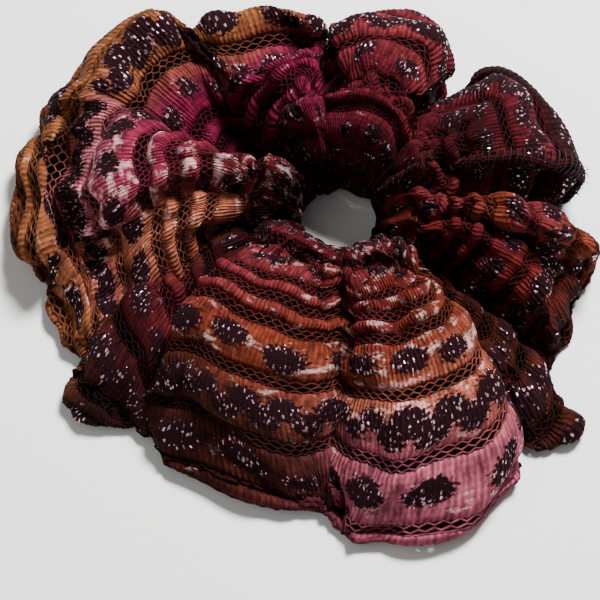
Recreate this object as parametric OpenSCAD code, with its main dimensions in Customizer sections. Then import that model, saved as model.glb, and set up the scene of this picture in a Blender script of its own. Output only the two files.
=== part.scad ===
// A gathered fabric hair scrunchie, lying flat and relaxed.
// The origin is under the middle of its outline, on the surface it rests on.

/* [Loop] */
// Radius of the hole that the relaxed loop leaves open
hole_r = 13.5; // [11:0.5:18]
// Cloth between the hole and the elastic
inner_cloth = 1.2; // [0.8:0.1:2]
// Width of the flat elastic band
elastic_w = 6; // [4:0.5:8]
// Thickness of the flat elastic band
elastic_t = 1; // [0.6:0.1:1.6]
// Height of the middle of the elastic above the surface
elastic_z = 8; // [7:0.5:10]
// Length over which the two ends of the elastic lie one on the other
elastic_lap = 12; // [8:1:18]

/* [Sleeve] */
// From the middle of the hole to the crest of the longest gather
longest_reach = 79; // [65:1:96]
// Height of the tallest gather
tallest_gather = 42; // [34:1:52]
// Height of the cloth at the edge of the hole
rim_h = 17; // [15:0.5:22]
// Share of the way out at which a gather is highest
crest_at = 0.52; // [0.4:0.02:0.65]

/* [Sewing] */
// Thickness of the sewing thread
thread_d = 0.4; // [0.3:0.05:0.6]
// Length of one straight stitch in the long seam
stitch_len = 2.6; // [2:0.2:4]
// Space between two straight stitches
stitch_gap = 0.8; // [0.5:0.1:1.5]
// Stitches that hold the elastic's two ends together
lap_stitches = 6; // [4:1:8]

/* [Hidden] */
// Gap between a soft piece and the piece it lies against
fit_gap = 0.3;
// Each valley between two gathers: direction, how far short of the longest
// reach it stops, and how far below the tallest gather it lies.
VALLEYS = [
    [-90, 17, 20], [-60, 15, 17], [-34, 26, 20], [-3, 36, 22],
    [48, 44, 20], [90, 45, 19], [124, 36, 19], [156, 23, 15],
    [186, 20, 19], [208, 21, 21], [233, 20, 19], [270, 17, 20]
];
// Each crest, in the same way, between the valley of its number and the next.
CRESTS = [
    [-73, 0, 8], [-47, 13, 14], [-17, 20, 4], [24, 27, 4],
    [72, 34, 0], [108, 31, 6], [141, 17, 4], [172, 9, 2],
    [197, 12, 11], [220, 7, 11], [250, 10, 6]
];

ring_step = 4.5;      // widest angle between two rings of a gather
top_points = 13;      // points over the top of a ring
under_points = 5;     // points under its outer bulge
foot_chamfer = 1.5;   // bevel where the inner wall meets the surface
bulge_at = 0.72;      // share of the way out where the underside lifts off
bulge_z = 0.36;       // height of the outer edge as a share of the ring's height

elastic_in = hole_r + inner_cloth + fit_gap;
elastic_out = elastic_in + elastic_t;
lap_out = elastic_out + elastic_t;
channel_in = hole_r + inner_cloth;
channel_out = lap_out + thread_d + 2 * fit_gap;
channel_floor = elastic_z - elastic_w / 2 - thread_d - 2 * fit_gap;
channel_roof = elastic_z + elastic_w / 2 + fit_gap;
lap_angle = elastic_lap / (elastic_out + elastic_t / 2) * 180 / PI;
lap_middle = 180;     // the ends of the elastic meet opposite the closing seam
seam_r = (elastic_in + elastic_out) / 2;
stitch_angle = stitch_len / seam_r * 180 / PI;
stitch_pitch = (stitch_len + stitch_gap) / seam_r * 180 / PI;
stitches_a_side = floor(180 / stitch_pitch);
closing_seam_gather = 3;
thread_sides = 8;
cut_spare = 5;        // angle by which a cut runs past the end it trims

// How far a place has risen from valley to crest, u = 1 at the valley and 0 at the crest
function swell(u) = pow(cos(90 * u), 0.8);
function mix(a, b, u) = a + (b - a) * u;

// Reach and height of gather i in the direction a
function ring_size(i, a) =
    let(
        crest = CRESTS[i],
        valley = a < crest[0] ? VALLEYS[i] : VALLEYS[i + 1],
        c = swell((crest[0] - a) / (crest[0] - valley[0]))
    )
    [
        longest_reach - mix(valley[1], crest[1], c),
        tallest_gather - mix(valley[2], crest[2], c)
    ];

// Height of the top of a ring at the share s of the way out
function top_z(s, h) =
    let(edge = bulge_z * h)
    s < crest_at ? mix(rim_h, h, sin(90 * s / crest_at))
    : edge + (h - edge) * sqrt(1 - pow((s - crest_at) / (1 - crest_at), 2));

// Height of the underside of a ring at the share s of the way out
function under_z(s, h) =
    bulge_z * h * (1 - sqrt(1 - pow((s - bulge_at) / (1 - bulge_at), 2)));

// Outline of gather i in the direction a: [distance from the hole's middle, z],
// from the foot of the inner wall over the top to the foot of the outer bulge
function ring(i, a) =
    let(size = ring_size(i, a), reach = size[0], h = size[1])
    [
        [hole_r + foot_chamfer, 0],
        [hole_r, foot_chamfer],
        [hole_r, rim_h - foot_chamfer],
        for (k = [0:top_points - 1])
            let(s = 0.5 - 0.5 * cos(mix(24, 180, k / (top_points - 1))))
            [mix(hole_r, reach, s), top_z(s, h)],
        for (k = [1:under_points])
            let(s = mix(1, bulge_at, 1 - cos(90 * k / under_points)))
            [mix(hole_r, reach, s), under_z(s, h)]
    ];

// Directions of the rings of gather i, with the crest among them
function ring_angles(i) =
    let(
        a0 = VALLEYS[i][0], a1 = CRESTS[i][0], a2 = VALLEYS[i + 1][0],
        n0 = ceil((a1 - a0) / ring_step), n1 = ceil((a2 - a1) / ring_step)
    )
    [
        for (k = [0:n0 - 1]) mix(a0, a1, k / n0),
        for (k = [0:n1]) mix(a1, a2, k / n1)
    ];

function turned(p, a) = [p[0] * cos(a), p[0] * sin(a), p[1]];
function ring_points(i, a) = [for (p = ring(i, a)) turned(p, a)];

// The middle of the outline, seen from above, measured from the hole's middle
EDGE = [
    for (i = [0:len(CRESTS) - 1]) for (a = ring_angles(i))
        turned([ring_size(i, a)[0], 0], a)
];
edge_x = [for (p = EDGE) p[0]];
edge_y = [for (p = EDGE) p[1]];
middle = [(min(edge_x) + max(edge_x)) / 2, (min(edge_y) + max(edge_y)) / 2];

// Everything is drawn about the hole's middle and moved into place here
module placed() {
    translate([-middle[0], -middle[1], 0]) children();
}

// A solid swept through closed rings that all have the same number of points
module skin(rings) {
    n = len(rings[0]);
    last = len(rings) - 1;
    polyhedron(
        points = [for (r = rings) each r],
        faces = [
            [for (k = [0:n - 1]) k],
            for (j = [0:last - 1]) for (k = [0:n - 1])
                let(a = j * n + k, b = j * n + (k + 1) % n)
                each [[a, a + n, b], [b, a + n, b + n]],
            [for (k = [n - 1:-1:0]) last * n + k]
        ],
        convexity = 6
    );
}

// The channel that the elastic runs in, all the way round the loop
module elastic_channel() {
    rotate_extrude($fn = 96)
        translate([channel_in, channel_floor])
            square([channel_out - channel_in, channel_roof - channel_floor]);
}

// One gather of the knitted sleeve, between two valleys
module sleeve_gather(i) {
    placed()
        difference() {
            skin([for (a = ring_angles(i)) ring_points(i, a)]);
            elastic_channel();
        }
}

// A length of flat elastic from one direction to another
module elastic_arc(thickness, a0, a1) {
    rotate([0, 0, a0])
        rotate_extrude(angle = a1 - a0, $fn = 96)
            translate([elastic_in, elastic_z - elastic_w / 2])
                square([thickness, elastic_w]);
}

module elastic_right_half() {
    color("ivory")
        placed()
            elastic_arc(elastic_t, -90, 90);
}

// The left half is twice as thick where the band's two ends are sewn together
module elastic_left_half() {
    color("ivory")
        placed()
            difference() {
                elastic_arc(2 * elastic_t, 90, 270);
                single_layer(90 - cut_spare, lap_middle - lap_angle / 2);
                single_layer(lap_middle + lap_angle / 2, 270 + cut_spare);
            }
}

// What is taken away where the band has one layer
module single_layer(a0, a1) {
    rotate([0, 0, a0])
        rotate_extrude(angle = a1 - a0, $fn = 96)
            translate([elastic_out, elastic_z - elastic_w])
                square([2 * elastic_t, 2 * elastic_w]);
}

// One ring of the closing seam's thread, round the point p of a plane through the axis
function thread_ring(p, a, tilt) = [
    for (k = [0:thread_sides - 1])
        let(
            t = 360 * k / thread_sides,
            out = thread_d / 2 * cos(t),
            side = thread_d / 2 * sin(t)
        )
        turned([p[0] + out * cos(tilt), p[1] + out * sin(tilt)], a)
            + side * [-sin(a), cos(a), 0]
];

// The stitches that hold the lap, sewn across the band
module elastic_join_stitches() {
    pitch = lap_angle / (lap_stitches + 1);
    half_w = elastic_w / 2 - thread_d;
    r = lap_out + fit_gap / 3 + thread_d / 2;
    color("white")
        placed()
            for (k = [1:lap_stitches])
                rotate([0, 0, lap_middle - lap_angle / 2 + pitch * k])
                    translate([r, 0, elastic_z - half_w])
                        cylinder(d = thread_d, h = 2 * half_w, $fn = 24);
}

// Straight stitches along the sleeve's seam, on the channel's floor, for half the loop
module long_seam_thread(middle_angle) {
    first = middle_angle - (stitches_a_side - 1) / 2 * stitch_pitch;
    color("maroon")
        placed()
            for (k = [0:stitches_a_side - 1])
                rotate([0, 0, first + k * stitch_pitch - stitch_angle / 2])
                    rotate_extrude(angle = stitch_angle, $fn = 96)
                        translate([seam_r - thread_d / 2, channel_floor])
                            square([thread_d, thread_d]);
}

module long_seam_thread_right() {
    long_seam_thread(0);
}

module long_seam_thread_left() {
    long_seam_thread(180);
}

// The closing seam runs over one gather's crest, from the hole's rim to the outer edge
module closing_seam_thread() {
    i = closing_seam_gather;
    a = CRESTS[i][0];
    lift = fit_gap + thread_d / 2;
    path = [for (k = [3:top_points + 2]) ring(i, a)[k]];
    last = len(path) - 1;
    tilts = [
        for (k = [0:last])
            let(d = path[min(k + 1, last)] - path[max(k - 1, 0)])
            atan2(d[0], -d[1])
    ];
    color("black")
        placed()
            skin([
                for (k = [0:last])
                    thread_ring(path[k] + lift * [cos(tilts[k]), sin(tilts[k])], a, tilts[k])
            ]);
}

color("#B0603C") sleeve_gather(0);  // sleeve_gather_01
color("#5A2320") sleeve_gather(1);  // sleeve_gather_02
color("#963C37") sleeve_gather(2);  // sleeve_gather_03
color("#6E1E28") sleeve_gather(3);  // sleeve_gather_04
color("#7A2230") sleeve_gather(4);  // sleeve_gather_05
color("#8C1E50") sleeve_gather(5);  // sleeve_gather_06
color("#9C5234") sleeve_gather(6);  // sleeve_gather_07
color("#BE506E") sleeve_gather(7);  // sleeve_gather_08
color("#A85A38") sleeve_gather(8);  // sleeve_gather_09
color("#6E1E28") sleeve_gather(9);  // sleeve_gather_10
color("#B0603C") sleeve_gather(10);  // sleeve_gather_11
elastic_right_half();
elastic_left_half();
elastic_join_stitches();
long_seam_thread_right();
long_seam_thread_left();
closing_seam_thread();
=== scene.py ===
# %% [markdown]
# # A gathered knit scrunchie
# The real object is one long tube of warp-knit lace, sewn shut round a loop of elastic
# that is much shorter than the cloth, so the cloth bunches up in deep folds.
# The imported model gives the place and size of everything. This script gives it its cloth.

# %% Load the frame
import math

import bpy
import numpy as np
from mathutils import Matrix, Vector


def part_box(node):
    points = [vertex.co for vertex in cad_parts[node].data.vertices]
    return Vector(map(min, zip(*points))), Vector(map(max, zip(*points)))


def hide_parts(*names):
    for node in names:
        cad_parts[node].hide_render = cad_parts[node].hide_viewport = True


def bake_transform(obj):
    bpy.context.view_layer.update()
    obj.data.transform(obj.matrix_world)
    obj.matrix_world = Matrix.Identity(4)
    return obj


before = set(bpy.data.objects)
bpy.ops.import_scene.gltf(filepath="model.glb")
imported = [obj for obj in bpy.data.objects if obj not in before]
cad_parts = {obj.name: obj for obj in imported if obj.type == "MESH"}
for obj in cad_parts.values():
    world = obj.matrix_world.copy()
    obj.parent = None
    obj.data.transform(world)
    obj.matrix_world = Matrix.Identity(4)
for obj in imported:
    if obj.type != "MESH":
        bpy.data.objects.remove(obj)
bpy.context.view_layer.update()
MM = 0.001
right_low, right_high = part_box("elastic_right_half")
hole_x = right_low[0] / MM
hole_y = (right_low[1] + right_high[1]) / 2 / MM
HOLE = np.array([hole_x, hole_y])
ELASTIC_MID_Z = (right_low[2] + right_high[2]) / 2 / MM
ELASTIC_WIDTH = (right_high[2] - right_low[2]) / MM
ELASTIC_OUT = (right_high[1] - right_low[1]) / 2 / MM
print("hole's middle in mm", HOLE.round(2), "elastic radius", round(ELASTIC_OUT, 2))

# %% [markdown]
# ## Fold lines
# A gathered tube is a row of crests and valleys round the hole. Each is one line of the
# cloth: where it points, how far out it reaches, how high it stands. Petals modelled one
# by one would leave seams, so the whole tube is one surface through all the lines.

# %% Crests and valleys, measured round the hole
# direction, twist near the hole, reach, height, where the top is, height of the edge
# as a share, then a dip in the top: its place, depth and width, then a sideways lean,
# and how far the cloth has slipped along this line
NO_DIP = (0, 0, 1)
VALLEYS = [
    (-92, 7, 65, 17, .50, .36, *NO_DIP, 0, -.09),
    (-59, 14, 63, 14, .50, .36, *NO_DIP, 0, -.22),
    (-38, 8, 55, 12, .50, .36, *NO_DIP, 0, -.04),
    (-17, 4, 54, 21, .70, .50, .45, 12, .25, 0, 0),
    (0, -4, 43, 16, .50, .40, *NO_DIP, 0, -.03),
    (48, -28, 37, 19, .50, .40, *NO_DIP, 0, -.03),
    (93, 13, 47, 26, .60, .50, .50, 9, .20, 0, 0),
    (128, 3, 64, 31, .82, .50, .42, 24, .28, 0, 0),
    (158, -8, 68, 30, .78, .45, .38, 15, .24, 0, 0),
    (191, -13, 64, 17, .60, .40, *NO_DIP, 0, 0),
    (211, -25, 62, 16, .50, .36, *NO_DIP, 0, .02),
    (232, -36, 60, 13, .50, .36, *NO_DIP, 0, .09),
]
VALLEYS.append((VALLEYS[0][0] + 360, *VALLEYS[0][1:]))
CRESTS = [
    (-74, 8, 74, 32, .44, .32, *NO_DIP, 5, -.04),
    (-49, 10, 68, 20, .50, .36, *NO_DIP, 0, 0),
    (-28, 6, 58, 29, .50, .40, *NO_DIP, 3, 0),
    (-8, 1, 58, 35, .62, .52, *NO_DIP, -4, 0),
    (23, -14, 54, 38, .56, .52, *NO_DIP, 3, 0),
    (70, -6, 48, 40, .50, .58, *NO_DIP, 0, 0),
    (110, 5, 57, 37, .42, .55, .73, 16, .14, 0, 0),
    (144, -4, 70, 33, .84, .50, .42, 24, .30, 0, 0),
    (174, -10, 71, 39, .42, .46, .84, 16, .08, 10, 0),
    (200, -17, 67, 29, .42, .40, .80, 7, .09, -3, 0),
    (220, -31, 69, 22, .45, .36, .50, 3, .10, 0, 0),
    (250, -11, 65, 32, .42, .32, *NO_DIP, -9, 0),
]
FOLDS = len(CRESTS)
HOLE_R = 8.5  # the pleats fill the hole to here
RIM_H = 13  # least height of a high fold at the hole's edge; a low one has four fifths
CLOTH_LONG = 480  # the tube's length before it was gathered
CLOTH_ROUND = 150  # the tube's flat cut, sewn to itself
HIGH_FOLD = 24  # folds higher than this keep much of it down to the hole
REST = 1.5  # how high the lowest cloth lies
EDGE_LIFTS = 0.72  # the underside leaves the table at this share of the reach
print(FOLDS, "folds")

# %% [markdown]
# ## One line of the tube
# Each fold line is a closed section: up the wall of the hole, over the top, round the
# outer edge and back underneath. It is measured along its length, because the stripes
# of the knit lie at fixed distances.

# %% The section of one fold line
def section(line, shares):
    """Distance from the hole's middle, height and direction at each share of the way round."""
    direction, twist, reach, height, top_at, edge_share, dip_at, dip, dip_wide, lean, slip = line
    edge = edge_share * height
    s = 0.5 - 0.5 * np.cos(np.radians(np.linspace(24, 180, 90)))
    # the gathers at the back stand up from the hole, those at the front lie down from it
    rim = RIM_H * 0.8
    if height > HIGH_FOLD:
        rim = max(RIM_H, height * (0.55 + 0.17 * math.sin(math.radians(direction))))
    rising = rim + (height - rim) * np.sin(np.pi / 2 * np.minimum(s / top_at, 1))
    falling = edge + (height - edge) * np.sqrt(np.maximum(0, 1 - ((s - top_at) / (1 - top_at)) ** 2))
    top = np.where(s < top_at, rising, falling) - dip * np.exp(-((s - dip_at) / dip_wide) ** 2)
    back = 1 + (EDGE_LIFTS - 1) * (1 - np.cos(np.linspace(0, np.pi / 2, 24)[1:]))
    under = edge * (1 - np.sqrt(np.maximum(0, 1 - ((back - EDGE_LIFTS) / (1 - EDGE_LIFTS)) ** 2)))
    wall = [(HOLE_R + 3, REST), (HOLE_R + 0.8, 2), (HOLE_R, 5), (HOLE_R, rim - 3)]
    over = np.column_stack([HOLE_R + (reach - HOLE_R) * s, np.maximum(top, 3)])
    below = np.column_stack([HOLE_R + (reach - HOLE_R) * back, under + REST])
    outline = np.vstack([wall, over, below, wall[:1]])
    along = np.concatenate([[0], np.cumsum(np.linalg.norm(np.diff(outline, axis=0), axis=1))])
    places = (shares + slip * np.sin(np.pi * shares)) * along[-1]
    out = np.interp(places, along, outline[:, 0])
    up = np.interp(places, along, outline[:, 1])
    far = np.clip((out - HOLE_R) / (reach - HOLE_R), 0, 1)
    high = np.clip((up - 8) / 22, 0, 1)
    return np.column_stack([out, up, direction + twist * (1 - far) + lean * high])


# %% The whole tube as a grid of points
COLUMNS_A_FOLD = 24
ROWS_ROUND = 84
STEEP = 0.6  # under 1 the folds have steep sides and narrow valleys
BULGE = 0.12  # how far a fold swells sideways over its neighbours
PLEAT = 1.8  # depth of the small pleats along the elastic
PLEAT_REACH = 8  # how far from the hole they fade out
WIDE_FOLD = 25  # degrees from which a fold has three pleats, not two
WALL_SHARE = 0.12  # the wall of the hole is this share of the way round the cloth


def gathered_tube():
    """Points of the tube, columns along the cloth and rows round it, in millimetres."""
    shares = np.arange(ROWS_ROUND) / ROWS_ROUND
    columns = []
    for k in range(FOLDS):
        first = section(VALLEYS[k], shares)
        last = section(VALLEYS[k + 1], shares)
        crest = section(CRESTS[k], shares)
        spread = last[:, 2] - first[:, 2]
        pleats = 3 if VALLEYS[k + 1][0] - VALLEYS[k][0] > WIDE_FOLD else 2
        for t in np.arange(COLUMNS_A_FOLD) / COLUMNS_A_FOLD:
            valley = first if t < 0.5 else last
            swell = math.sin(math.pi * t) ** STEEP
            out, up = (valley[:, :2] + (crest[:, :2] - valley[:, :2]) * swell).T
            turn = (
                first[:, 2] * (1 - t) * (1 - 2 * t)
                + crest[:, 2] * 4 * t * (1 - t)
                + last[:, 2] * t * (2 * t - 1)
                - BULGE * spread * math.sin(2 * math.pi * t)
            )
            fade = np.exp(-np.maximum(0, out - HOLE_R) / PLEAT_REACH)
            drop = fade * PLEAT * (0.5 + 0.5 * math.cos(2 * math.pi * pleats * t))
            out = out + drop * np.where(shares < WALL_SHARE, 1, 0.2)
            up = up - drop * np.clip(up / 10, 0, 1) * 0.9
            a = np.radians(turn)
            columns.append(np.column_stack([hole_x + out * np.cos(a), hole_y + out * np.sin(a), up]))
    return np.array(columns)


tube = gathered_tube()
print("tube of", tube.shape[0], "by", tube.shape[1], "points")

# %% [markdown]
# ## Let the cloth settle
# The lines give the folds their places, but real cloth buckles. So the tube becomes
# cloth for a moment: it is a little too big for its shape, gravity pulls it, and it
# creases by itself. It is done at a larger scale, where the solver is steady, and no
# point may move far, so the folds stay in place.

# %% A short cloth simulation
SIM_SCALE = 0.02  # simulated metres for each millimetre
SIM_FRAMES = 22
GROW = 0.15  # the cloth is this much too big for its shape
MOVE_LIMIT = 8.0  # millimetres
HELD = 9  # the elastic holds the cloth this far from the hole's edge
TINY = 1e-9  # keeps a length of nothing from being divided by


def grid_faces(columns, rows, closed_columns=True, closed_rows=True):
    """Corner numbers of the squares of a grid, which may close on itself either way."""
    index = np.arange(columns * rows).reshape(columns, rows)
    ahead = np.roll(index, -1, 0)
    corners = np.stack([index, ahead, np.roll(ahead, -1, 1), np.roll(index, -1, 1)], -1)
    if not closed_columns:
        corners = corners[:-1]
    if not closed_rows:
        corners = corners[:, :-1]
    return corners.reshape(-1, 4)


def settle(points):
    """Runs the cloth on the grid of points and returns where they end."""
    columns, rows = points.shape[:2]
    mesh = bpy.data.meshes.new("settling")
    mesh.from_pydata((points.reshape(-1, 3) * SIM_SCALE).tolist(), [], grid_faces(columns, rows).tolist())
    cloth = bpy.data.objects.new("settling", mesh)
    bpy.context.scene.collection.objects.link(cloth)
    held = cloth.vertex_groups.new(name="held by the elastic")
    from_hole = np.linalg.norm(points[:, :, :2] - HOLE, axis=2).ravel()
    held.add(np.flatnonzero(from_hole < HOLE_R + HELD).tolist(), 1.0, "REPLACE")
    modifier = cloth.modifiers.new("cloth", "CLOTH")
    s = modifier.settings
    s.quality = 4
    s.mass = 0.3
    s.air_damping = 2
    s.tension_stiffness = s.compression_stiffness = 15
    s.shear_stiffness = 6
    s.bending_stiffness = 0.1
    s.tension_damping = s.compression_damping = 10
    s.shear_damping = 5
    s.bending_damping = 0.5
    s.vertex_group_mass = held.name
    s.shrink_min = s.shrink_max = -GROW
    modifier.collision_settings.distance_min = 0.008
    bpy.ops.mesh.primitive_plane_add(size=20)
    ground = bpy.context.object
    ground.modifiers.new("collision", "COLLISION")
    ground.collision.thickness_outer = 0.01
    scene = bpy.context.scene
    scene.frame_start = modifier.point_cache.frame_start = 1
    scene.frame_end = modifier.point_cache.frame_end = SIM_FRAMES + 1
    for number in range(1, SIM_FRAMES + 1):
        scene.frame_set(number)
    result = cloth.evaluated_get(bpy.context.evaluated_depsgraph_get())
    flat = np.empty(columns * rows * 3, "f")
    result.data.vertices.foreach_get("co", flat)
    moved = flat.reshape(columns, rows, 3).astype(float) / SIM_SCALE - points
    length = np.linalg.norm(moved, axis=2, keepdims=True)
    bpy.data.objects.remove(cloth)
    bpy.data.objects.remove(ground)
    scene.frame_set(1)
    ended = points + moved * np.minimum(1, MOVE_LIMIT / np.maximum(length, TINY))
    ended[:, :, 2] = np.maximum(ended[:, :, 2], REST)
    print("the cloth moved by", round(float(length.mean()), 2), "mm on average")
    return ended


tube = settle(tube)


EVENNESS = 0.75  # 1 spaces the columns by the cloth's length alone


def spaced_evenly(points):
    """The same tube, with its columns moved so that the outer cloth is used at one even rate."""
    columns, rows = points.shape[:2]
    closed = np.concatenate([points, points[:1]])
    steps = np.linalg.norm(np.diff(closed, axis=0), axis=2)[:, rows // 4:rows * 7 // 10].mean(axis=1)
    steps = EVENNESS * steps + (1 - EVENNESS) * steps.mean()
    along = np.concatenate([[0], np.cumsum(steps)])
    wanted = np.arange(columns) * along[-1] / columns
    flat = closed.reshape(columns + 1, -1)
    moved = np.stack([np.interp(wanted, along, flat[:, i]) for i in range(flat.shape[1])], axis=1)
    by_fold = along[:-1].reshape(-1, COLUMNS_A_FOLD)
    middles = np.interp(by_fold[:, COLUMNS_A_FOLD // 2], wanted, np.arange(columns))
    starts = np.interp(by_fold[:, 0], wanted, np.arange(columns))
    print("outer cloth is", round(float(along[-1])), "mm long")
    return moved.reshape(columns, rows, 3), middles / columns, starts / columns


def unit(vectors):
    """The same directions, each one long."""
    return vectors / np.maximum(np.linalg.norm(vectors, axis=-1, keepdims=True), TINY)


DENT = 0.75  # depth of the dents, in millimetres
DENT_FULL_AT = 25  # and how far from the hole they have all of it
# waves along the loop, waves round the tube, share of the depth, start
DENT_WAVES = [
    (19, 2, 0.8, 0.4), (31, -3, 0.7, 1.9), (43, 4, 0.55, 3.1),
    (57, -2, 0.4, 0.9), (37, 7, 0.45, 5.2), (71, 5, 0.3, 2.2),
]


def crumpled(points):
    """Adds the small soft dents that a cloth keeps from being worn."""
    columns, rows = points.shape[:2]
    along = np.roll(points, -1, 0) - np.roll(points, 1, 0)
    across = np.roll(points, -1, 1) - np.roll(points, 1, 1)
    normal = unit(np.cross(along, across))
    c = 2 * np.pi * np.arange(columns)[:, None] / columns
    r = 2 * np.pi * np.arange(rows)[None, :] / rows
    dent = sum(size * np.sin(a * c + b * r + start) for a, b, size, start in DENT_WAVES)
    from_hole = np.linalg.norm(points[:, :, :2] - HOLE, axis=2) - HOLE_R
    depth = dent * DENT * np.clip(from_hole / DENT_FULL_AT, 0.15, 1)
    dented = points + normal * depth[:, :, None]
    dented[:, :, 2] = np.maximum(dented[:, :, 2], REST)
    return dented


tube, crest_shares, valley_shares = spaced_evenly(crumpled(tube))
print("crests at these shares of the cloth's length", crest_shares.round(3))

# %% [markdown]
# ## Reading the surface anywhere
# Bands, net threads and stitches all lie on this one surface. A place on it is two
# lengths on the flat cloth, along the tube and round it. Smooth curves through the grid
# turn that into a point in space and the direction that faces outwards.

# %% Place on the cloth to point in space
def blend_weights(t):
    """Catmull-Rom weights of the four grid points round a place, and their slopes."""
    t2, t3 = t * t, t * t * t
    place = [
        (-t3 + 2 * t2 - t) / 2, (3 * t3 - 5 * t2 + 2) / 2,
        (-3 * t3 + 4 * t2 + t) / 2, (t3 - t2) / 2,
    ]
    slope = [
        (-3 * t2 + 4 * t - 1) / 2, (9 * t2 - 10 * t) / 2,
        (-9 * t2 + 8 * t + 1) / 2, (3 * t2 - 2 * t) / 2,
    ]
    return place, slope


def on_cloth(along, around, lift=0.0):
    """Points and outward directions at places on the flat cloth, all in millimetres."""
    columns, rows = tube.shape[:2]
    x = np.asarray(along, float) / CLOTH_LONG * columns
    y = np.asarray(around, float) / CLOTH_ROUND * rows
    i, j = np.floor(x).astype(int), np.floor(y).astype(int)
    px, sx = blend_weights(x - i)
    py, sy = blend_weights(y - j)
    point = tangent = across = 0
    for a in range(4):
        for b in range(4):
            corner = tube[(i + a - 1) % columns, (j + b - 1) % rows]
            point = point + corner * (px[a] * py[b])[..., None]
            tangent = tangent + corner * (sx[a] * py[b])[..., None]
            across = across + corner * (px[a] * sy[b])[..., None]
    normal = unit(np.cross(tangent, across))
    return point + normal * np.asarray(lift, float)[..., None], normal


probe, facing = on_cloth(CLOTH_LONG / FOLDS / 2, 60.0)
OUTWARD = 1.0 if facing[2] > 0 else -1.0
print("a crest lies at", probe.round(1), "and faces", facing.round(2))

# %% [markdown]
# ## Stripes of the knit
# Warp-knit lace is made in stripes along its length: plain ribbed bands, bands with dots
# of metallic thread, bands where the dots merge into a wave, and rows of open net. The
# bands are thick cloth. The net is real threads, so one looks through it into the inside.

# %% The order of the stripes
REPEAT = [
    ("plain", 3.6), ("net", 2.3), ("plain", 3.6), ("net", 2.3), ("dots", 10.0), ("net", 2.3),
    ("wave", 11.0), ("net", 2.3), ("dots", 10.0), ("net", 2.3),
]
REPEATS = 3
STRIPE_START = -7.7  # the long seam runs down the middle of the second plain band
stripes = []
scale_to_cloth = CLOTH_ROUND / REPEATS / sum(width for kind, width in REPEAT)
at = STRIPE_START
for kind, width in REPEAT * REPEATS:
    stripes.append((kind, at, at + width * scale_to_cloth))
    at += width * scale_to_cloth
net_rows = [(low, high) for kind, low, high in stripes if kind == "net"]
bands = [(kind, low, high) for kind, low, high in stripes if kind != "net"]
print(len(bands), "dense bands and", len(net_rows), "net rows, ending at", round(at, 2), "mm")


# %% Small irregularities of a hand-fed cloth
def wander(along, around):
    """Bends the straight stripes a little, the same way for bands and nets."""
    turn = 2 * np.pi * along / CLOTH_LONG
    return (
        around + 0.9 * np.sin(5 * turn + 0.6) + 0.5 * np.sin(17 * turn + around / 27)
        + 0.25 * np.sin(41 * turn)
    )


DOT_PITCH = CLOTH_LONG / 50
DOT_RADIUS = 2.7
DOT_LONGER = 1.3  # the dots are this much longer along the band
WAVE_PITCH = CLOTH_LONG / 74
WAVE_RADIUS = 2.9
WAVE_ASIDE = 1.3  # the wave's dots lie this far to either side of its middle
NO_GLITTER = -3.0


def glitter_edge(kind, along, from_middle, shift):
    """How far inside a metallic dot a place is, in mm, and below zero outside it."""
    uneven = 0.35 * np.sin(along / 7.3 + shift) + 0.3 * np.sin(along / 3.1 + 2 * shift)
    if kind == "dots":
        slot = np.floor((along + shift) / DOT_PITCH)
        moved = 0.7 * np.sin(slot * 2.1 + shift)
        beside = (along + shift) % DOT_PITCH - DOT_PITCH / 2 - moved
        aside = from_middle - 0.7 * np.sin(slot * 3.7 + shift * 2)
        return DOT_RADIUS + 0.3 * np.sin(slot * 5.3) + uneven * 0.7 - np.hypot(beside / DOT_LONGER, aside)
    if kind == "wave":
        upper = np.abs((along + shift) % WAVE_PITCH - WAVE_PITCH / 2)
        lower = WAVE_PITCH / 2 - upper
        one_side = np.hypot(upper, from_middle - WAVE_ASIDE)
        other_side = np.hypot(lower, from_middle + WAVE_ASIDE)
        return WAVE_RADIUS + uneven - np.minimum(one_side, other_side)
    return np.full(np.shape(along), NO_GLITTER)


# %% [markdown]
# ## The dye, with painted shade
# The yarn is dyed in lengths of many colours, so each gather has its own mix. The colours
# are set at seven places round each gather and flow into each other, with streaks
# along the yarn. They are kept as a colour attribute of the cloth.
# Part of these colours is painted shade, set to how dark each gather looks where it lies.

# %% Colours of the yarn, with painted shade
def linear(code):
    """An sRGB hex colour as opaque linear light, which is what Blender's shaders expect."""
    channels = [int(code[i:i + 2], 16) / 255 for i in (1, 3, 5)]
    light = [c / 12.92 if c <= 0.04045 else ((c + 0.055) / 1.055) ** 2.4 for c in channels]
    return (*light, 1)


YARN = {
    "rust": "#602718", "brown": "#2E100A", "brick": "#581A17", "burgundy": "#481018", "wine": "#28040A",
    "magenta": "#5A0D2A", "hot": "#6C1C33", "pink": "#904858", "orange": "#90503A", "dark": "#180406",
    "rose": "#5E1F24", "salmon": "#8E4A3A", "tan": "#754328",
}
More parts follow.
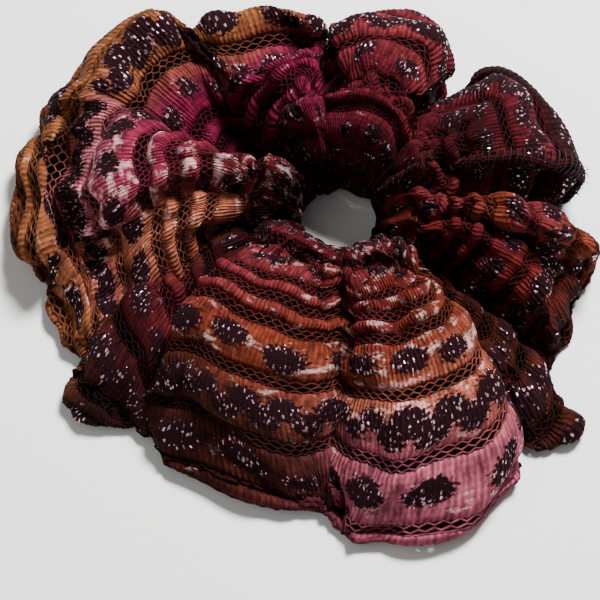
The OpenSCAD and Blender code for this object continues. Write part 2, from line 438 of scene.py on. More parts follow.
# for each gather: at the hole, then four places over the top, at the edge, and underneath,
# and last how much of its yarn the dye missed
# these colours are dye and painted shade: the wine at the hole on every gather is mostly painted shade of
# the hole's wall, and the second, fifth and eleventh gathers are painted darker as shade
GATHER_DYES_AND_SHADE = [
    ("wine", "burgundy", "brick", "rust", "salmon", "pink", "magenta", .90),
    ("dark", "dark", "brown", "brown", "brown", "brown", "brick", .05),
    ("wine", "brick", "brick", "burgundy", "brick", "brown", "rust", .15),
    ("wine", "brick", "rose", "rust", "rose", "rust", "brown", .15),
    ("wine", "wine", "burgundy", "wine", "burgundy", "dark", "brick", .05),
    ("wine", "burgundy", "burgundy", "burgundy", "rose", "burgundy", "magenta", .10),
    ("wine", "burgundy", "magenta", "magenta", "magenta", "tan", "rust", .40),
    ("wine", "wine", "wine", "magenta", "tan", "tan", "brown", .10),
    ("wine", "burgundy", "rose", "hot", "pink", "tan", "rust", 1.0),
    ("wine", "rust", "orange", "orange", "salmon", "tan", "rust", .70),
    ("wine", "wine", "wine", "burgundy", "wine", "dark", "magenta", .10),
    ("wine", "burgundy", "rose", "rust", "brown", "brown", "brick", .60),
]
DYE_PLACES = (0.06, 0.16, 0.27, 0.37, 0.47, 0.56, 0.82)
# fewer undyed flecks show at the outer edge and underneath
MISSED_THERE = (1, 1, 1, 1, .9, .5, .2)
dye_and_shade_table = np.array([
    [(*linear(YARN[name])[:3], row[-1] * missed) for name, missed in zip(row[:-1], MISSED_THERE)]
    for row in GATHER_DYES_AND_SHADE
])


def smooth_noise(x, y, seed):
    """Even, repeatable noise, mostly between -1 and 1, made of sines that don't line up."""
    value = 0
    for number in range(5):
        angle = seed * 1.7 + number * 2.4
        along_x = x * math.cos(angle) * (1 + number * 0.37)
        along_y = y * math.sin(angle) * (1 + number * 0.29)
        value = value + np.sin(along_x + along_y + seed * 3.1 + number)
    return value / 5 * 1.6


def dye_and_shade(along, around):
    """Linear colour of the yarn at places on the flat cloth, with the painted shade of its table, and how
    much of it is undyed.
    """
    # the borders between two dyes wander by several millimetres
    bent_along = along + 6 * smooth_noise(along / 9, around / 6, 1)
    bent_around = around + 5 * smooth_noise(along / 14, around / 9, 2)
    middles = np.concatenate([crest_shares, crest_shares[:1] + 1])
    x = (bent_along / CLOTH_LONG - middles[0]) % 1 + middles[0]
    k = np.clip(np.searchsorted(middles, x, side="right") - 1, 0, FOLDS - 1)
    f = ((x - middles[k]) / (middles[k + 1] - middles[k]))[..., None]
    f = f * f * (3 - 2 * f)
    share = (bent_around / CLOTH_ROUND) % 1
    places = np.array((DYE_PLACES[-1] - 1, *DYE_PLACES, DYE_PLACES[0] + 1))
    rows = np.concatenate([dye_and_shade_table[:, -1:], dye_and_shade_table, dye_and_shade_table[:, :1]], axis=1)
    slot = np.clip(np.searchsorted(places, share) - 1, 0, len(places) - 2)
    w = ((share - places[slot]) / (places[slot + 1] - places[slot]))[..., None]
    w = w * w * (3 - 2 * w)
    colour = 0
    for gather, part in ((k % FOLDS, 1 - f), ((k + 1) % FOLDS, f)):
        colour = colour + part * (rows[gather, slot] * (1 - w) + rows[gather, slot + 1] * w)
    streak = smooth_noise(along / 5, around / 1.1, 3)[..., None]
    colour[..., :3] = np.clip(colour[..., :3] * (1 + 0.28 * streak), 0.002, 1)
    return colour


print("dyes at the first gather", [YARN[name] for name in GATHER_DYES_AND_SHADE[0][:-1]])

# %% [markdown]
# ## The dense bands
# Each band is a strip of small squares on the surface. It is crowned across its width,
# because the net rows beside it pull in, and every second column stands a little higher,
# which gives the ribs across the band. Then it gets its thickness.

# %% Bands as meshes
RIB = CLOTH_LONG / 600  # one rib of the knit, in millimetres
RIB_HIGH = 0.08
BAND_ROW = 1.05  # one row of squares across a band
CROWN = 0.75  # the middle of a band stands this high
SUNK = -0.45  # and its edges this low
DOT_HIGH = 0.30
CLOTH_THICK = 0.45
TIGHT = 0.25  # gathered to this share of its width, the cloth has no ribs and dots
LOOSE = 0.45  # and this much over that it has all of them
UNDERSIDE = 0.62  # the cloth lies on the table from this share of the way round
part_names = ["front_right", "back_right", "back_left", "front_left"]
SLEEVE_PARTS = len(part_names)
part_starts = [*valley_shares[::FOLDS // SLEEVE_PARTS], 1.0]  # the parts meet in valleys


def local_gather(along, around):
    """How much of its flat width the cloth keeps at a place: 1 is all of it."""
    a, _ = on_cloth(along - 0.4, around)
    b, _ = on_cloth(along + 0.4, around)
    return np.clip(np.linalg.norm(b - a, axis=-1) / 0.8, 0, 1.2)


def new_piece(name, points, faces, colours=None, uv=None, glitter=None, made_of=()):
    """A mesh object at the origin, from points in millimetres."""
    mesh = bpy.data.meshes.new(name)
    mesh.vertices.add(len(points))
    mesh.vertices.foreach_set("co", (np.asarray(points) * MM).astype("f").ravel())
    faces = np.asarray(faces)
    sides = faces.shape[1]
    mesh.loops.add(faces.size)
    mesh.loops.foreach_set("vertex_index", faces.astype("i").ravel())
    mesh.polygons.add(len(faces))
    mesh.polygons.foreach_set("loop_start", np.arange(0, faces.size, sides, dtype="i"))
    mesh.polygons.foreach_set("use_smooth", np.full(len(faces), True))
    mesh.update(calc_edges=True)
    if colours is not None:
        layer = mesh.color_attributes.new("dye_and_shade", "FLOAT_COLOR", "POINT")
        layer.data.foreach_set("color", np.asarray(colours, "f").ravel())
    if glitter is not None:
        layer = mesh.attributes.new("glitter", "FLOAT", "POINT")
        layer.data.foreach_set("value", np.asarray(glitter, "f"))
    if uv is not None:
        layer = mesh.uv_layers.new(name="cloth")
        layer.data.foreach_set("uv", (np.asarray(uv)[faces.ravel()] * MM).astype("f").ravel())
    for material in made_of:
        mesh.materials.append(material)
    piece = bpy.data.objects.new(name, mesh)
    bpy.context.scene.collection.objects.link(piece)
    return piece


def band_grid(number, kind, low, high, first, last):
    """Points of one band between two ribs of the cloth, with their colours and glitter."""
    rows = max(4, round((high - low) / BAND_ROW) + 1)
    half_ribs = np.arange(first * 2, last * 2 + 1) * RIB / 2
    along, across = np.meshgrid(half_ribs, np.linspace(0, 1, rows), indexing="ij")
    around = wander(along, low + (high - low) * across)
    from_middle = (across - 0.5) * (high - low)
    shift = number * 3.7
    calm = np.clip((local_gather(along, around) - TIGHT) / LOOSE, 0, 1)
    mark = glitter_edge(kind, along, from_middle, shift) - 2.2 * (1 - calm)
    crown = SUNK + (CROWN - SUNK) * np.sin(np.pi * across) ** 0.55
    crown = crown * np.where(around > CLOTH_ROUND * UNDERSIDE, 0.4, 1)  # pressed flat underneath
    rib = RIB_HIGH * np.where(np.arange(along.shape[0])[:, None] % 2, 1, -1) * calm
    dot = DOT_HIGH * np.clip(mark / 0.8 + 0.5, 0, 1)
    lift = (crown * (0.35 + 0.65 * calm) + rib + dot * calm) * OUTWARD
    points, _ = on_cloth(along, around, lift)
    flat = np.column_stack([along.ravel(), around.ravel()])
    return points, dye_and_shade(along, around), mark, flat


def band_piece(part):
    """All the dense bands of one quarter of the sleeve, as one piece of cloth."""
    first, last = [round(CLOTH_LONG / RIB * share) for share in part_starts[part:part + 2]]
    strips = []
    count = 0
    for number, (kind, low, high) in enumerate(bands):
        points, colours, mark, flat = band_grid(number, kind, low, high, first, last)
        faces = grid_faces(*mark.shape, closed_columns=False, closed_rows=False)
        faces = (faces if OUTWARD > 0 else faces[:, ::-1]) + count
        count += mark.size
        strips.append((points.reshape(-1, 3), faces, colours.reshape(-1, 4), flat, mark.ravel()))
    cloth = [np.concatenate(values) for values in zip(*strips)]
    return new_piece("sleeve_knit_" + part_names[part], *cloth)


knit_pieces = [band_piece(part) for part in range(SLEEVE_PARTS)]
print("bands:", [len(piece.data.polygons) for piece in knit_pieces], "squares in each quarter")

# %% [markdown]
# ## The net rows
# Between the bands the needles make open six-sided meshes. Each row is three zigzag
# threads joined by short links. Every stretch of thread is a four-sided tube, which is
# enough for something so thin and made some thirty thousand times.

# %% Net threads
CELLS_ALONG = 256
THREAD_THICK = 0.42
PRESSED_FROM = 0.60  # the meshes close from this share of the way round
PRESSED_THICKER = 2.4  # and their threads swell by this much


def net_stretches(low, high, first, last):
    """The ends, on the flat cloth, of every stretch of thread in one net row."""
    cell = CLOTH_LONG / CELLS_ALONG
    k = np.arange(first, last) * cell
    wide = high - low
    bottom, middle, top, lean = low + wide * 0.1, low + wide * 0.5, low + wide * 0.9, wide * 0.115
    half = cell / 2
    corners = []
    for line, rise in ((bottom, lean), (middle, -lean), (top, lean)):
        corners.append((k, line + rise, k + half, line - rise))
        corners.append((k + half, line - rise, k + cell, line + rise))
    corners.append((k, bottom + lean, k, middle - lean))
    corners.append((k + half, middle + lean, k + half, top - lean))
    ends = [np.stack([a, np.full(len(k), b), c, np.full(len(k), d)], -1) for a, b, c, d in corners]
    return np.vstack(ends)


def net_piece(part):
    """Every net row of one quarter of the sleeve."""
    first, last = [round(CELLS_ALONG * share) for share in part_starts[part:part + 2]]
    ends = np.vstack([net_stretches(low, high, first, last) for low, high in net_rows])
    rings = []
    for a, b in ((0, 1), (2, 3)):
        place = wander(ends[:, a], ends[:, b])
        point, normal = on_cloth(ends[:, a], place, SUNK * 0.8 * OUTWARD)
        rings.append((point, normal, dye_and_shade(ends[:, a], place), np.column_stack([ends[:, a], place])))
    way = unit(rings[1][0] - rings[0][0])
    # underneath, the weight of the cloth presses the meshes shut
    pressed = np.clip((ends[:, 1] / CLOTH_ROUND - PRESSED_FROM) / 0.05, 0, 1)
    thick = THREAD_THICK * (1 + PRESSED_THICKER * pressed)
    corners = []
    for point, normal, colour, flat in rings:
        side = unit(np.cross(way, normal))
        for x, y in ((1, 0), (0, 1), (-1, 0), (0, -1)):
            corner = point + (side * x + normal * y) * thick[:, None] / 2
            corners.append((corner, colour, flat))
    points, colours, flats = [np.vstack(values) for values in zip(*corners)]
    n = len(ends)
    index = np.arange(8 * n).reshape(8, n)
    sides = [(c, (c + 1) % 4) for c in range(4)]
    faces = [np.stack([index[a], index[b], index[b + 4], index[a + 4]], -1) for a, b in sides]
    return new_piece("sleeve_net_" + part_names[part], points, np.vstack(faces), colours, flats)


net_pieces = [net_piece(part) for part in range(SLEEVE_PARTS)]
print("net:", [len(piece.data.polygons) for piece in net_pieces], "faces in each quarter")

# %% [markdown]
# ## Materials of the cloth
# Polyester warp knit has a dull lustre, with one tiny loop after another along each rib.
# The dots are knitted with lurex, a metal film cut to thread: nearly black, with painted glints,
# pale specks of metal that also reflect the lamp.

# %% One helper to add a node
def add(tree, kind, inputs=None, **settings):
    """Adds a node: settings are its own options, inputs are numbers, nodes or their sockets."""
    node = tree.nodes.new("ShaderNode" + kind)
    for key, value in settings.items():
        setattr(node, key, value)
    for key, value in (inputs or {}).items():
        if isinstance(value, bpy.types.Node):
            value = value.outputs[0]
        if isinstance(value, bpy.types.NodeSocket):
            tree.links.new(value, node.inputs[key])
        else:
            node.inputs[key].default_value = value
    return node


def blank_material(name):
    """A material and its empty tree."""
    material = bpy.data.materials.new(name)
    material.use_nodes = True
    material.node_tree.nodes.clear()
    return material, material.node_tree


# %% Warp-knit polyester with lurex dots
LOOP_ROW = 1.2  # one row of loops, in millimetres


def warp_knit():
    """Space-dyed knit: the colour and its painted shade are in the mesh; the loops, with painted shade
    between them, and the glitter, with painted glints, are made here.
    """
    material, tree = blank_material("space_dyed_warp_knit")
    place = add(tree, "UVMap", uv_map="cloth").outputs["UV"]
    split = add(tree, "SeparateXYZ", {0: place})
    # the mesh colour carries the dye and the painted shade of the dye table
    yarn = add(tree, "Attribute", attribute_name="dye_and_shade")
    dye_and_shade_colour = yarn.outputs["Color"]
    inside_dot = add(tree, "Attribute", attribute_name="glitter").outputs["Fac"]

    # loops: a rib every 0.8 mm along the cloth, a row of loops every 1.2 mm across it; their painted
    # shade darkens the colour between the loops, and they also make the bump
    crooked = add(tree, "TexNoise", {0: place, "Scale": 260.0, "Detail": 1.0})
    bent = add(tree, "Math", {0: crooked, 1: 5.0}, operation="MULTIPLY")
    turns = 2000 * math.pi  # one turn a millimetre
    rib = add(tree, "Math", {0: split.outputs[0], 1: turns / RIB, 2: bent}, operation="MULTIPLY_ADD")
    rib = add(tree, "Math", {0: rib}, operation="COSINE")
    row = add(tree, "Math", {0: split.outputs[1], 1: turns / LOOP_ROW}, operation="MULTIPLY")
    row = add(tree, "Math", {0: rib, 1: 0.9, 2: row}, operation="MULTIPLY_ADD")
    row = add(tree, "Math", {0: row}, operation="COSINE")
    loops = add(tree, "Math", {0: row, 1: 0.25, 2: rib}, operation="MULTIPLY_ADD")
    painted_loop_shade = add(tree, "MapRange", {0: loops, 1: -1.2, 2: 1.2, 3: 0.70, 4: 1.12})

    # fine streaks of dye along each loop, and pale flecks where the dye missed the yarn
    stretch = add(tree, "Mapping", {0: place, "Scale": (1100, 330, 1)})
    streaks = add(tree, "TexNoise", {0: stretch, "Scale": 1.0, "Detail": 2.0})
    streak = add(tree, "MapRange", {0: streaks, 1: 0.3, 2: 0.7, 3: 0.42, 4: 1.6})
    tone = add(tree, "Math", {0: painted_loop_shade, 1: streak}, operation="MULTIPLY")
    coloured = add(tree, "VectorMath", {0: dye_and_shade_colour, "Scale": tone}, operation="SCALE")
    spots = add(tree, "Mapping", {0: place, "Scale": (190, 300, 1)})
    flecks = add(tree, "TexNoise", {0: spots, "Scale": 1.0, "Detail": 5.0, "Roughness": 0.7})
    missed = add(tree, "Math", {0: yarn.outputs["Alpha"], 1: 0.17, 2: flecks}, operation="MULTIPLY_ADD")
    combed = add(tree, "MapRange", {0: missed, 1: 0.67, 2: 0.76, 3: 0.0, 4: 0.9})
    paler = add(tree, "VectorMath", {
        0: dye_and_shade_colour, 1: (1.3, 1.3, 1.3), 2: (0.36, 0.27, 0.26),
    }, operation="MULTIPLY_ADD")
    bright = add(tree, "Mix", {0: combed, 6: coloured, 7: paler}, data_type="RGBA")

    # lurex: dashes of film 0.25 mm wide and 0.6 mm long; a few are given a pale colour as painted glints,
    # and being metal these also reflect the lamps
    ragged = add(tree, "TexNoise", {0: place, "Scale": 1400.0, "Detail": 1.0})
    edge = add(tree, "Math", {0: ragged, 1: 3.4, 2: inside_dot}, operation="MULTIPLY_ADD")
    mask = add(tree, "MapRange", {0: edge, 1: 1.6, 2: 2.1})
    dashes = add(tree, "Mapping", {0: place, "Scale": (4000, 1700, 1)})
    foil = add(tree, "TexVoronoi", {0: dashes, "Scale": 1.0})
    chance = add(tree, "SeparateXYZ", {0: foil.outputs["Color"]})
    glint = add(tree, "MapRange", {0: chance.outputs[0], 1: 0.92, 2: 0.98})
    shades = {0: glint, 6: linear("#1C080D"), 7: linear("#E0B0BC")}
    film_with_painted_glints = add(tree, "Mix", shades, data_type="RGBA")
    colour = add(tree, "Mix", {0: mask, 6: bright.outputs[2], 7: film_with_painted_glints.outputs[2]}, data_type="RGBA")
    metal = add(tree, "Math", {0: mask, 1: glint}, operation="MULTIPLY")
    rough = add(tree, "MapRange", {0: metal, 3: 0.85, 4: 0.3})

    tilt = add(tree, "Math", {0: chance.outputs[1], 1: mask}, operation="MULTIPLY")
    relief = add(tree, "Math", {0: tilt, 1: 1.6, 2: loops}, operation="MULTIPLY_ADD")
    bump = add(tree, "Bump", {"Strength": 0.75, "Distance": 0.00016, "Height": relief})
    shader = add(tree, "BsdfPrincipled", {
        "Base Color": colour.outputs[2], "Roughness": rough, "Metallic": metal,
        "Normal": bump, "Specular IOR Level": 0.06, "IOR": 1.5,
    })
    add(tree, "OutputMaterial", {0: shader})
    return material


def wrong_side():
    """The inside of the tube, painted near black as the shade that fills it, in two dark tones that vary
    at random.
    """
    material, tree = blank_material("knit_wrong_side_painted_shade")
    place = add(tree, "UVMap", uv_map="cloth").outputs["UV"]
    stretch = add(tree, "Mapping", {0: place, "Scale": (300, 1200, 1)})
    mottle = add(tree, "TexNoise", {0: stretch, "Scale": 1.0, "Detail": 3.0})
    colour = add(tree, "ValToRGB", {0: mottle})
    colour.color_ramp.elements[0].color = linear("#0A0506")
    colour.color_ramp.elements[1].color = linear("#220C10")
    bump = add(tree, "Bump", {"Strength": 0.5, "Distance": 0.0002, "Height": mottle})
    shader = add(tree, "BsdfPrincipled", {
        "Base Color": colour, "Roughness": 0.9, "Normal": bump,
        "Specular IOR Level": 0.03, "IOR": 1.5,
    })
    add(tree, "OutputMaterial", {0: shader})
    return material


def net_thread():
    """Twisted polyester thread of the net rows, a little darker than the bands."""
    material, tree = blank_material("polyester_net_thread")
    place = add(tree, "UVMap", uv_map="cloth").outputs["UV"]
    dye_and_shade_colour = add(tree, "Attribute", attribute_name="dye_and_shade").outputs["Color"]
    fuzz = add(tree, "TexNoise", {0: place, "Scale": 900.0, "Detail": 2.0})
    tone = add(tree, "MapRange", {0: fuzz, 1: 0.3, 2: 0.7, 3: 0.22, 4: 0.75})
    colour = add(tree, "VectorMath", {0: dye_and_shade_colour, "Scale": tone}, operation="SCALE")
    shader = add(tree, "BsdfPrincipled", {
        "Base Color": colour, "Roughness": 0.75, "Specular IOR Level": 0.06, "IOR": 1.5,
    })
    add(tree, "OutputMaterial", {0: shader})
    return material


KNIT, WRONG_SIDE, NET_THREAD = warp_knit(), wrong_side(), net_thread()
for piece in knit_pieces:
    piece.data.materials.append(KNIT)
    piece.data.materials.append(WRONG_SIDE)
    thick = piece.modifiers.new("cloth thickness", "SOLIDIFY")
    thick.thickness = CLOTH_THICK * MM
    thick.offset = -1
    # the inner face takes the near-black wrong side, painted shade inside the tube
    thick.material_offset = 1
    thick.material_offset_rim = 0
    bpy.context.view_layer.objects.active = piece
    bpy.ops.object.modifier_apply(modifier=thick.name)
for piece in net_pieces:
    piece.data.materials.append(NET_THREAD)
print("cloth has", len(KNIT.node_tree.nodes), "nodes in its knit")

# %% [markdown]
# ## Threads that sew it together
# The long seam turns the strip of knit into a tube, and lies at the inside of the loop.
# The closing seam joins the tube's two ends: a rolled ridge across the cloth, oversewn,
# with fraying ends of yarn. Every stitch is a short bent tube of thread, so one function
# sweeps tubes along any number of lines.

# %% Sweep a thread along many lines
def swept(lines, thick, sides=6, flat=1.0):
    """Points and faces of tubes along lines, given as an array of lines by points by 3."""
    count, steps = lines.shape[:2]
    way = unit(np.gradient(lines, axis=1))
    bulge = lines[:, steps // 2] - (lines[:, 0] + lines[:, -1]) / 2 + [0, 0, 1e-4]
    side = unit(np.cross(np.repeat(bulge[:, None], steps, 1), way))
    up = np.cross(way, side)
    turn = (2 * np.pi * np.arange(sides) / sides)[:, None]
    ring = side[:, :, None] * np.cos(turn) + up[:, :, None] * np.sin(turn) * flat
    radius = np.full(steps, thick / 2)
    radius[[0, -1]] *= 0.25
    points = lines[:, :, None] + ring * radius[None, :, None, None]
    index = np.arange(count * steps * sides).reshape(count, steps, sides)
    ahead = np.roll(index, -1, 2)
    faces = np.stack([index[:, :-1], ahead[:, :-1], ahead[:, 1:], index[:, 1:]], -1).reshape(-1, 4)
    ends = np.concatenate([index[:, 0, ::-1], index[:, -1]])
    caps = [ends[:, [0, a, a + 1, a + 2]] for a in range(1, sides - 2, 2)]
    return points.reshape(-1, 3), np.vstack([faces, *caps])


def thread_material(name, hex_dark, hex_light, twist_mm):
    """Spun polyester sewing thread: two plies that turn round each other."""
    material, tree = blank_material(name)
    place = add(tree, "TexCoord").outputs["Object"]
    plies = add(tree, "TexWave", {0: place, "Scale": 160 / twist_mm, "Distortion": 1.5, "Detail": 1.0})
    colour = add(tree, "ValToRGB", {0: plies.outputs["Fac"]})
    colour.color_ramp.elements[0].color = linear(hex_dark)
    colour.color_ramp.elements[1].color = linear(hex_light)
    bump = add(tree, "Bump", {"Strength": 0.6, "Distance": 0.0001, "Height": plies.outputs["Fac"]})
    shader = add(tree, "BsdfPrincipled", {
        "Base Color": colour, "Roughness": 0.75, "Normal": bump,
        "Specular IOR Level": 0.2, "IOR": 1.5,
    })
    add(tree, "OutputMaterial", {0: shader})
    return material


SEAM_THREAD = thread_material("spun_polyester_seam_thread", "#100408", "#2C0E16", 0.8)

# %% The long seam, a running stitch all the way round the loop
STITCH, GAP, THREAD = 2.6, 0.8, 0.4
stitch_starts = np.arange(0, CLOTH_LONG - 1, STITCH + GAP)
along = stitch_starts[:, None] + np.linspace(0, STITCH, 7)
lift = CROWN + 0.1 + 0.25 * np.sin(np.linspace(0, np.pi, 7))
line, _ = on_cloth(along, wander(along, 0), lift * 0.6 * OUTWARD)
right_of_split = line[:, :, 0].mean(axis=1) > hole_x
long_seams = []
for name, chosen in (("long_seam_right", right_of_split), ("long_seam_left", ~right_of_split)):
    long_seams.append(new_piece(name, *swept(line[chosen], THREAD), made_of=[SEAM_THREAD]))
print(len(line), "running stitches in the long seam")

# %% The closing seam, a rolled ridge over the cloth at one gather
SEAM_FOLD = 4  # the gather that carries the seam
RIDGE_THICK = 2.0
RIDGE_SIDES = 10
SIDE_WIDE = 0.63  # each of its sides, in millimetres
RIDGE_LIFT = 0.55  # its middle lies this far over the cloth
RIDGE_DARKER = 0.55
WHIP_PITCH = 1.7
SEAM_BESIDE = 0.018  # the seam lies this share of the cloth's length before the crest
LINT_THICK = 0.16
seam_at = (crest_shares[SEAM_FOLD] - SEAM_BESIDE) * CLOTH_LONG
rng = np.random.default_rng(7)
around = np.linspace(0, CLOTH_ROUND, 301)
ridge_line, _ = on_cloth(seam_at + 0.25 * np.sin(around / 3.1), around, RIDGE_LIFT * OUTWARD)
ridge_points, ridge_faces = swept(ridge_line[None], RIDGE_THICK, sides=RIDGE_SIDES, flat=0.75)
ridge_points[:, 2] = np.maximum(ridge_points[:, 2], 0.1)
ring_around = np.repeat(around, RIDGE_SIDES)
ridge_colours = dye_and_shade(seam_at, ring_around) * RIDGE_DARKER
ridge_uv = np.column_stack([np.tile(np.arange(RIDGE_SIDES) * SIDE_WIDE, len(around)), ring_around])
plain = np.full(len(ridge_points), NO_GLITTER)
ridge = new_piece("closing_seam_ridge", ridge_points, ridge_faces, ridge_colours, ridge_uv, plain, [KNIT])

over = np.linspace(-1.35, 1.35, 9)
whip_at = np.arange(0.8, CLOTH_ROUND, WHIP_PITCH)
whip_around = whip_at[:, None] + over * 0.45
whip_lift = RIDGE_LIFT + np.sqrt(np.maximum(0, 1 - (over / 1.4) ** 2))
whip_line, _ = on_cloth(seam_at + over, whip_around, whip_lift * OUTWARD)
whip_line[:, :, 2] = np.maximum(whip_line[:, :, 2], THREAD / 2)
whips = new_piece("closing_seam_whip_stitches", *swept(whip_line, THREAD), made_of=[SEAM_THREAD])

LINT = 150
root_around = rng.uniform(0.18, 0.66, LINT) * CLOTH_ROUND
roots, outs = on_cloth(seam_at, root_around, 0.9 * OUTWARD)
tips = outs * OUTWARD * rng.uniform(0.3, 1.5, (LINT, 1)) + rng.normal(0, 0.7, (LINT, 3))
curl = rng.normal(0, 0.5, (LINT, 3))
t = np.linspace(0, 1, 5)[None, :, None]
lint_line = roots[:, None] + tips[:, None] * t + curl[:, None] * np.sin(np.pi * t)
lint_tubes = swept(lint_line, LINT_THICK, sides=4)
lint = new_piece("closing_seam_frayed_ends", *lint_tubes, made_of=[SEAM_THREAD])
print(len(whip_at), "whip stitches and", LINT, "frayed ends")

# %% [markdown]
# ## The elastic
# Inside the tube lies a loop of flat braided elastic, with lengthwise cords that the braid
# crosses at a slant. Its ends lap over each other and are sewn through.

# %% Braided elastic with its lap
LAP = 12.0
ELASTIC_THICK = 1.0
CORD_HIGH = 0.12
CLEAR = 1.04  # the lapped end lies this many thicknesses further out
EASE = 0.35  # radians in which it climbs there
middle_radius = ELASTIC_OUT - ELASTIC_THICK / 2
lap_angle = LAP / middle_radius
steps = 480
angle = np.linspace(np.pi - lap_angle / 2, 3 * np.pi + lap_angle / 2, steps)
outward = np.clip((angle - (3 * np.pi - lap_angle / 2 - EASE)) / EASE, 0, 1)
outward = (outward * outward * (3 - 2 * outward)) * ELASTIC_THICK * CLEAR
CORDS = 9
across = np.linspace(-0.5, 0.5, CORDS * 4 + 1)
cord_height = np.abs(np.cos(across * np.pi * CORDS)) ** 0.7
slant = np.sin(angle[:, None] * 90 + across[None, :] * 40)
relief = CORD_HIGH * cord_height[None, :] * (0.75 + 0.25 * slant)
front = middle_radius + outward[:, None] + ELASTIC_THICK / 2 - CORD_HIGH + relief
back = middle_radius + outward[:, None] - ELASTIC_THICK / 2 + CORD_HIGH - relief
radius = np.concatenate([front, back[:, ::-1]], axis=1)
height = ELASTIC_MID_Z + ELASTIC_WIDTH * np.concatenate([across, across[::-1]])
loop_x = hole_x + radius * np.cos(angle)[:, None]
loop_y = hole_y + radius * np.sin(angle)[:, None]
loop = np.stack([loop_x, loop_y, np.repeat(height[None], steps, 0)], -1)
around_strip = loop.shape[1]
loop_faces = grid_faces(steps, around_strip, closed_columns=False)
half = around_strip // 2
for end, order in ((0, 1), (steps - 1, -1)):
    index = np.arange(around_strip) + end * around_strip
    cap = np.stack([index[:half - 1], index[1:half], index[::-1][1:half], index[::-1][:half - 1]], -1)
    loop_faces = np.vstack([loop_faces, cap[:, ::order]])
elastic = new_piece("elastic_loop", loop.reshape(-1, 3), loop_faces)


def braided_elastic():
    """Off-white polyester braid over latex cords: matt, with a fleck at every crossing."""
    material, tree = blank_material("braided_polyester_elastic")
    place = add(tree, "TexCoord").outputs["Object"]
    weave = add(tree, "TexVoronoi", {0: place, "Scale": 1500.0})
    colour = add(tree, "ValToRGB", {0: weave.outputs["Distance"]})
    colour.color_ramp.elements[0].color = linear("#EDE7D8")
    colour.color_ramp.elements[1].color = linear("#B9B09C")
    bump = add(tree, "Bump", {"Strength": 0.5, "Distance": 0.0002, "Height": weave.outputs["Distance"]})
    coat = {"Base Color": colour, "Roughness": 0.7, "Normal": bump, "IOR": 1.5}
    shader = add(tree, "BsdfPrincipled", coat)
    add(tree, "OutputMaterial", {0: shader})
    return material


elastic.data.materials.append(braided_elastic())
print("elastic loop", round(2 * math.pi * middle_radius, 1), "mm round")

# %% Stitches that hold the lap
LAP_STITCHES = 6
heights = np.linspace(-0.36, 0.36, LAP_STITCHES) * ELASTIC_WIDTH + ELASTIC_MID_Z
places = np.linspace(-0.3, 0.3, LAP_STITCHES + 1) * lap_angle + np.pi
lap_lines = []
step = np.linspace(0, 1, 9)
for number in range(LAP_STITCHES):
    turn = places[number] + (places[number + 1] - places[number]) * step
    low_end, high_end = heights[number % 2 * 3], heights[2 + number % 2 * 3]
    high = low_end + (high_end - low_end) * step
    far = ELASTIC_OUT + ELASTIC_THICK * CLEAR + 0.18 * np.sin(np.pi * step)
    lap_lines.append(np.column_stack([hole_x + far * np.cos(turn), hole_y + far * np.sin(turn), high]))
lap_tubes = swept(np.array(lap_lines), THREAD)
join_stitches = new_piece("elastic_lap_stitches", *lap_tubes, made_of=[SEAM_THREAD])
print(LAP_STITCHES, "stitches through the lap")

# %% [markdown]
# ## The pieces and the parts they replace
# Each piece takes the place of parts of the imported model, which are hidden.

# %% What each piece stands for
everything = [*knit_pieces, *net_pieces, *long_seams, ridge, whips, lint, elastic, join_stitches]
for piece in everything:
    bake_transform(piece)
part_slots = ["knit_rust", "knit_burgundy", "knit_magenta", "knit_rust"]
part_gathers = [(1, 2, 3), (4, 5), (6, 7, 8), (9, 10, 11)]
stand_ins = [
    (elastic, "elastic", ["elastic_right_half", "elastic_left_half"]),
    (join_stitches, "thread", ["elastic_join_stitches"]),
    (long_seams[0], "thread", ["long_seam_thread_right"]),
    (long_seams[1], "thread", ["long_seam_thread_left"]),
    (whips, "thread", ["closing_seam_thread"]),
    (lint, "thread", []),
    (ridge, "knit_burgundy", []),
]
for part in range(SLEEVE_PARTS):
    gathers = [f"sleeve_gather_{number:02d}" for number in part_gathers[part]]
    stand_ins.append((knit_pieces[part], part_slots[part], gathers))
    stand_ins.append((net_pieces[part], part_slots[part], []))
for piece, slot_name, nodes in stand_ins:
    if nodes:
        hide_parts(*nodes)

for part, piece in enumerate(knit_pieces):
    sewn_on = [net_pieces[part]]
    if part == SEAM_FOLD * SLEEVE_PARTS // FOLDS:
        sewn_on += [ridge, whips, lint]
print("pieces:", [piece.name for piece in everything])

# %% [markdown]
# ## Stage, light and camera
# A pale matt floor, one soft lamp from the upper right and back, a weaker one from the
# left, and a white room. The camera looks down at about sixty degrees from the front.

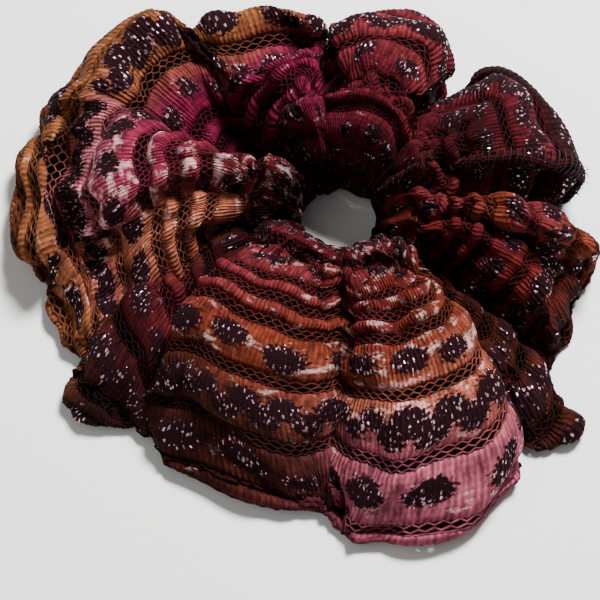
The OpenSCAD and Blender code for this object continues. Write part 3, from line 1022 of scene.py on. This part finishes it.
# %% Pale floor
bpy.ops.object.select_all(action="DESELECT")
bpy.ops.mesh.primitive_plane_add(size=3)
floor = bpy.context.object
floor.name = "floor"
matt, tree = blank_material("matt_white_board")
paper = add(tree, "TexNoise", {"Scale": 300.0, "Detail": 3.0})
grain = add(tree, "Bump", {"Strength": 0.05, "Distance": 0.0005, "Height": paper})
board = add(tree, "BsdfPrincipled", {
    "Base Color": (0.93, 0.93, 0.92, 1), "Roughness": 0.7, "Normal": grain,
})
add(tree, "OutputMaterial", {0: board})
floor.data.materials.append(matt)


# %% Soft lamps and a white room
def lamp(name, place, size, energy):
    """A square lamp that looks at the object."""
    data = bpy.data.lights.new(name, "AREA")
    data.shape, data.size, data.energy = "SQUARE", size, energy
    light = bpy.data.objects.new(name, data)
    light.location = place
    light.rotation_euler = (Vector((0, 0, 0.01)) - Vector(place)).to_track_quat("-Z", "Y").to_euler()
    bpy.context.scene.collection.objects.link(light)


KEY_WATTS, FILL_WATTS, ROOM_LIGHT = 16.5, 1.5, 0.15
lamp("soft key", (0.22, 0.3, 0.65), 0.2, KEY_WATTS)
lamp("weak fill", (-0.4, -0.3, 0.5), 0.8, FILL_WATTS)
room = bpy.data.worlds.new("white room")
room.use_nodes = True
white = room.node_tree.nodes["Background"]
white.inputs[0].default_value = (1, 1, 1, 1)
white.inputs[1].default_value = ROOM_LIGHT
bpy.context.scene.world = room

# %% Camera
SEEN_WIDTH = 0.129  # metres across the frame at the object
CAMERA_AWAY = 0.6
CAMERA_ABOVE = 62  # degrees
lens = bpy.data.cameras.new("camera")
lens.sensor_width = 36
lens.lens = lens.sensor_width * CAMERA_AWAY / SEEN_WIDTH
looked_at = Vector((hole_x - 8.6, hole_y - 24.5, 15)) * MM
up = math.radians(CAMERA_ABOVE)
camera = bpy.data.objects.new("camera", lens)
camera.location = looked_at + Vector((0, -math.cos(up), math.sin(up))) * CAMERA_AWAY
camera.rotation_euler = (looked_at - camera.location).to_track_quat("-Z", "Y").to_euler()
bpy.context.scene.collection.objects.link(camera)
bpy.context.scene.camera = camera
